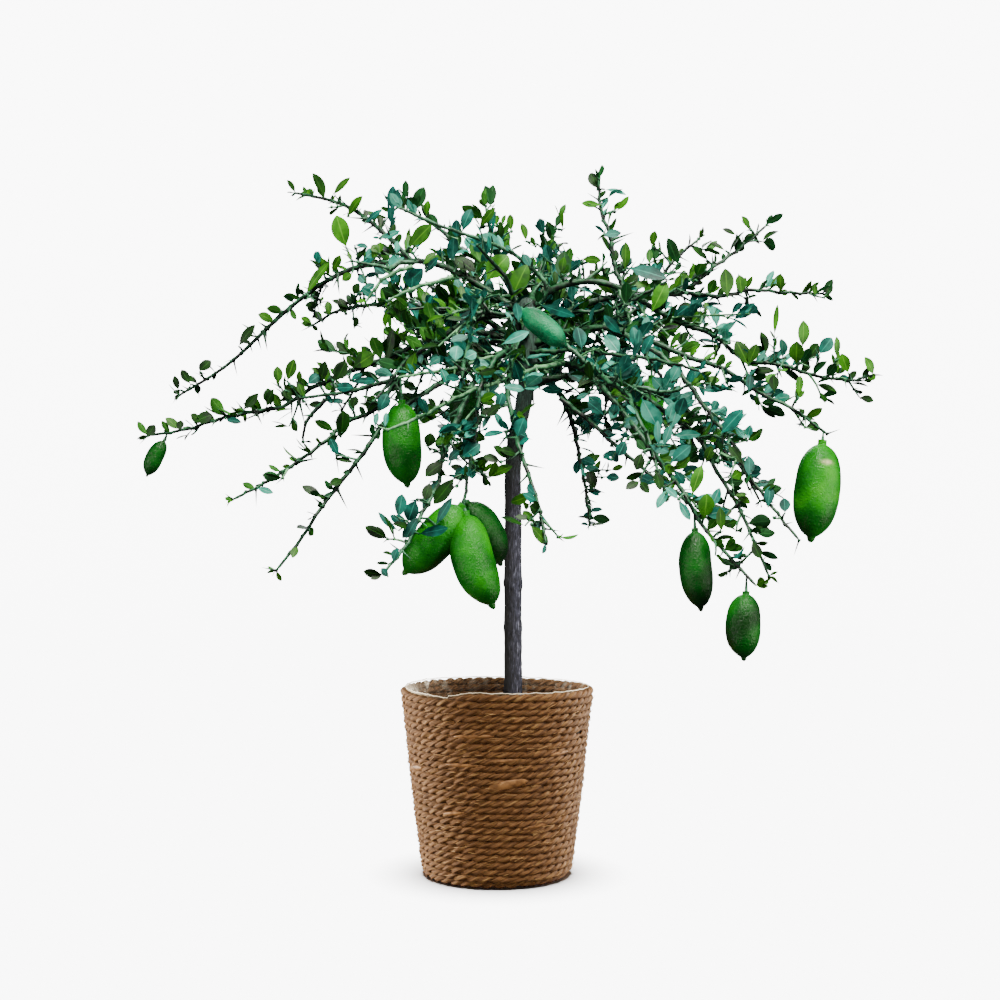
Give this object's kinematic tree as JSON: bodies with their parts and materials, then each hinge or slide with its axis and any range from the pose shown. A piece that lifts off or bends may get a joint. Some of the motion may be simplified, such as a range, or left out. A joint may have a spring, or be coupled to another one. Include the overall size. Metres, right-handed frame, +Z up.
{
  "type": "finger lime tree in a basket pot",
  "caption": "Small grafted finger lime tree with arching thorny shoots and long green fruit, standing in a filled basket of coiled seagrass rope.",
  "frame": {"origin": "centre of the basket's flat underside", "axes": "+Z up along the plant, -Y towards the viewer of the picture, +X to the viewer's right"},
  "size_m": [0.7332, 0.5473, 0.7182],
  "materials": {
    "seagrass": "coiled two-ply seagrass rope, matt, warm brown",
    "lining_film": "thin pale plastic film, crinkled",
    "potting_soil": "dark crumbly potting soil with bark chips",
    "bark": "dark grey bark with upright fissures",
    "foliage": "small leathery green leaves on thorny green shoots"
  },
  "bodies": {
    "root": {"basket": "seagrass", "lining": "lining_film", "soil": "potting_soil", "trunk": "bark", "bough_upper_left": "bark", "bough_mid_left": "bark", "bough_low_left": "bark", "bough_top_left": "bark", "bough_right_arch": "bark", "bough_upper_right": "bark", "bough_back_right": "bark", "bough_mid_right": "bark", "bough_low_right": "bark", "bough_front_right": "bark", "bough_front": "bark", "bough_front_left": "bark", "bough_upper_front_left": "bark", "bough_back": "bark", "bough_hanging_back": "bark", "bough_back_left": "bark", "bough_low_back_left": "bark", "foliage_rising_left": "foliage", "foliage_high_left": "foliage", "foliage_long_left": "foliage", "foliage_sloping_left": "foliage", "foliage_hanging_left": "foliage", "foliage_upright_left": "foliage", "foliage_upright_back": "foliage", "foliage_long_right": "foliage", "foliage_leader": "foliage", "foliage_rising_right": "foliage", "foliage_level_right": "foliage", "foliage_upper_back_right": "foliage", "foliage_low_back_right": "foliage", "foliage_fruiting_right": "foliage", "foliage_drooping_right": "foliage", "foliage_hanging_right": "foliage", "foliage_low_right": "foliage", "foliage_low_front_right": "foliage", "foliage_front_right": "foliage", "foliage_pale_front_left": "foliage", "foliage_front": "foliage", "foliage_hanging_front": "foliage", "foliage_out_front": "foliage", "foliage_low_front_left": "foliage", "foliage_front_left": "foliage", "foliage_upper_front": "foliage", "foliage_back": "foliage", "foliage_rising_back": "foliage", "foliage_hanging_back": "foliage", "foliage_far_left": "foliage", "foliage_back_left": "foliage", "foliage_low_back_left": "foliage"}
  },
  "joints": []
}
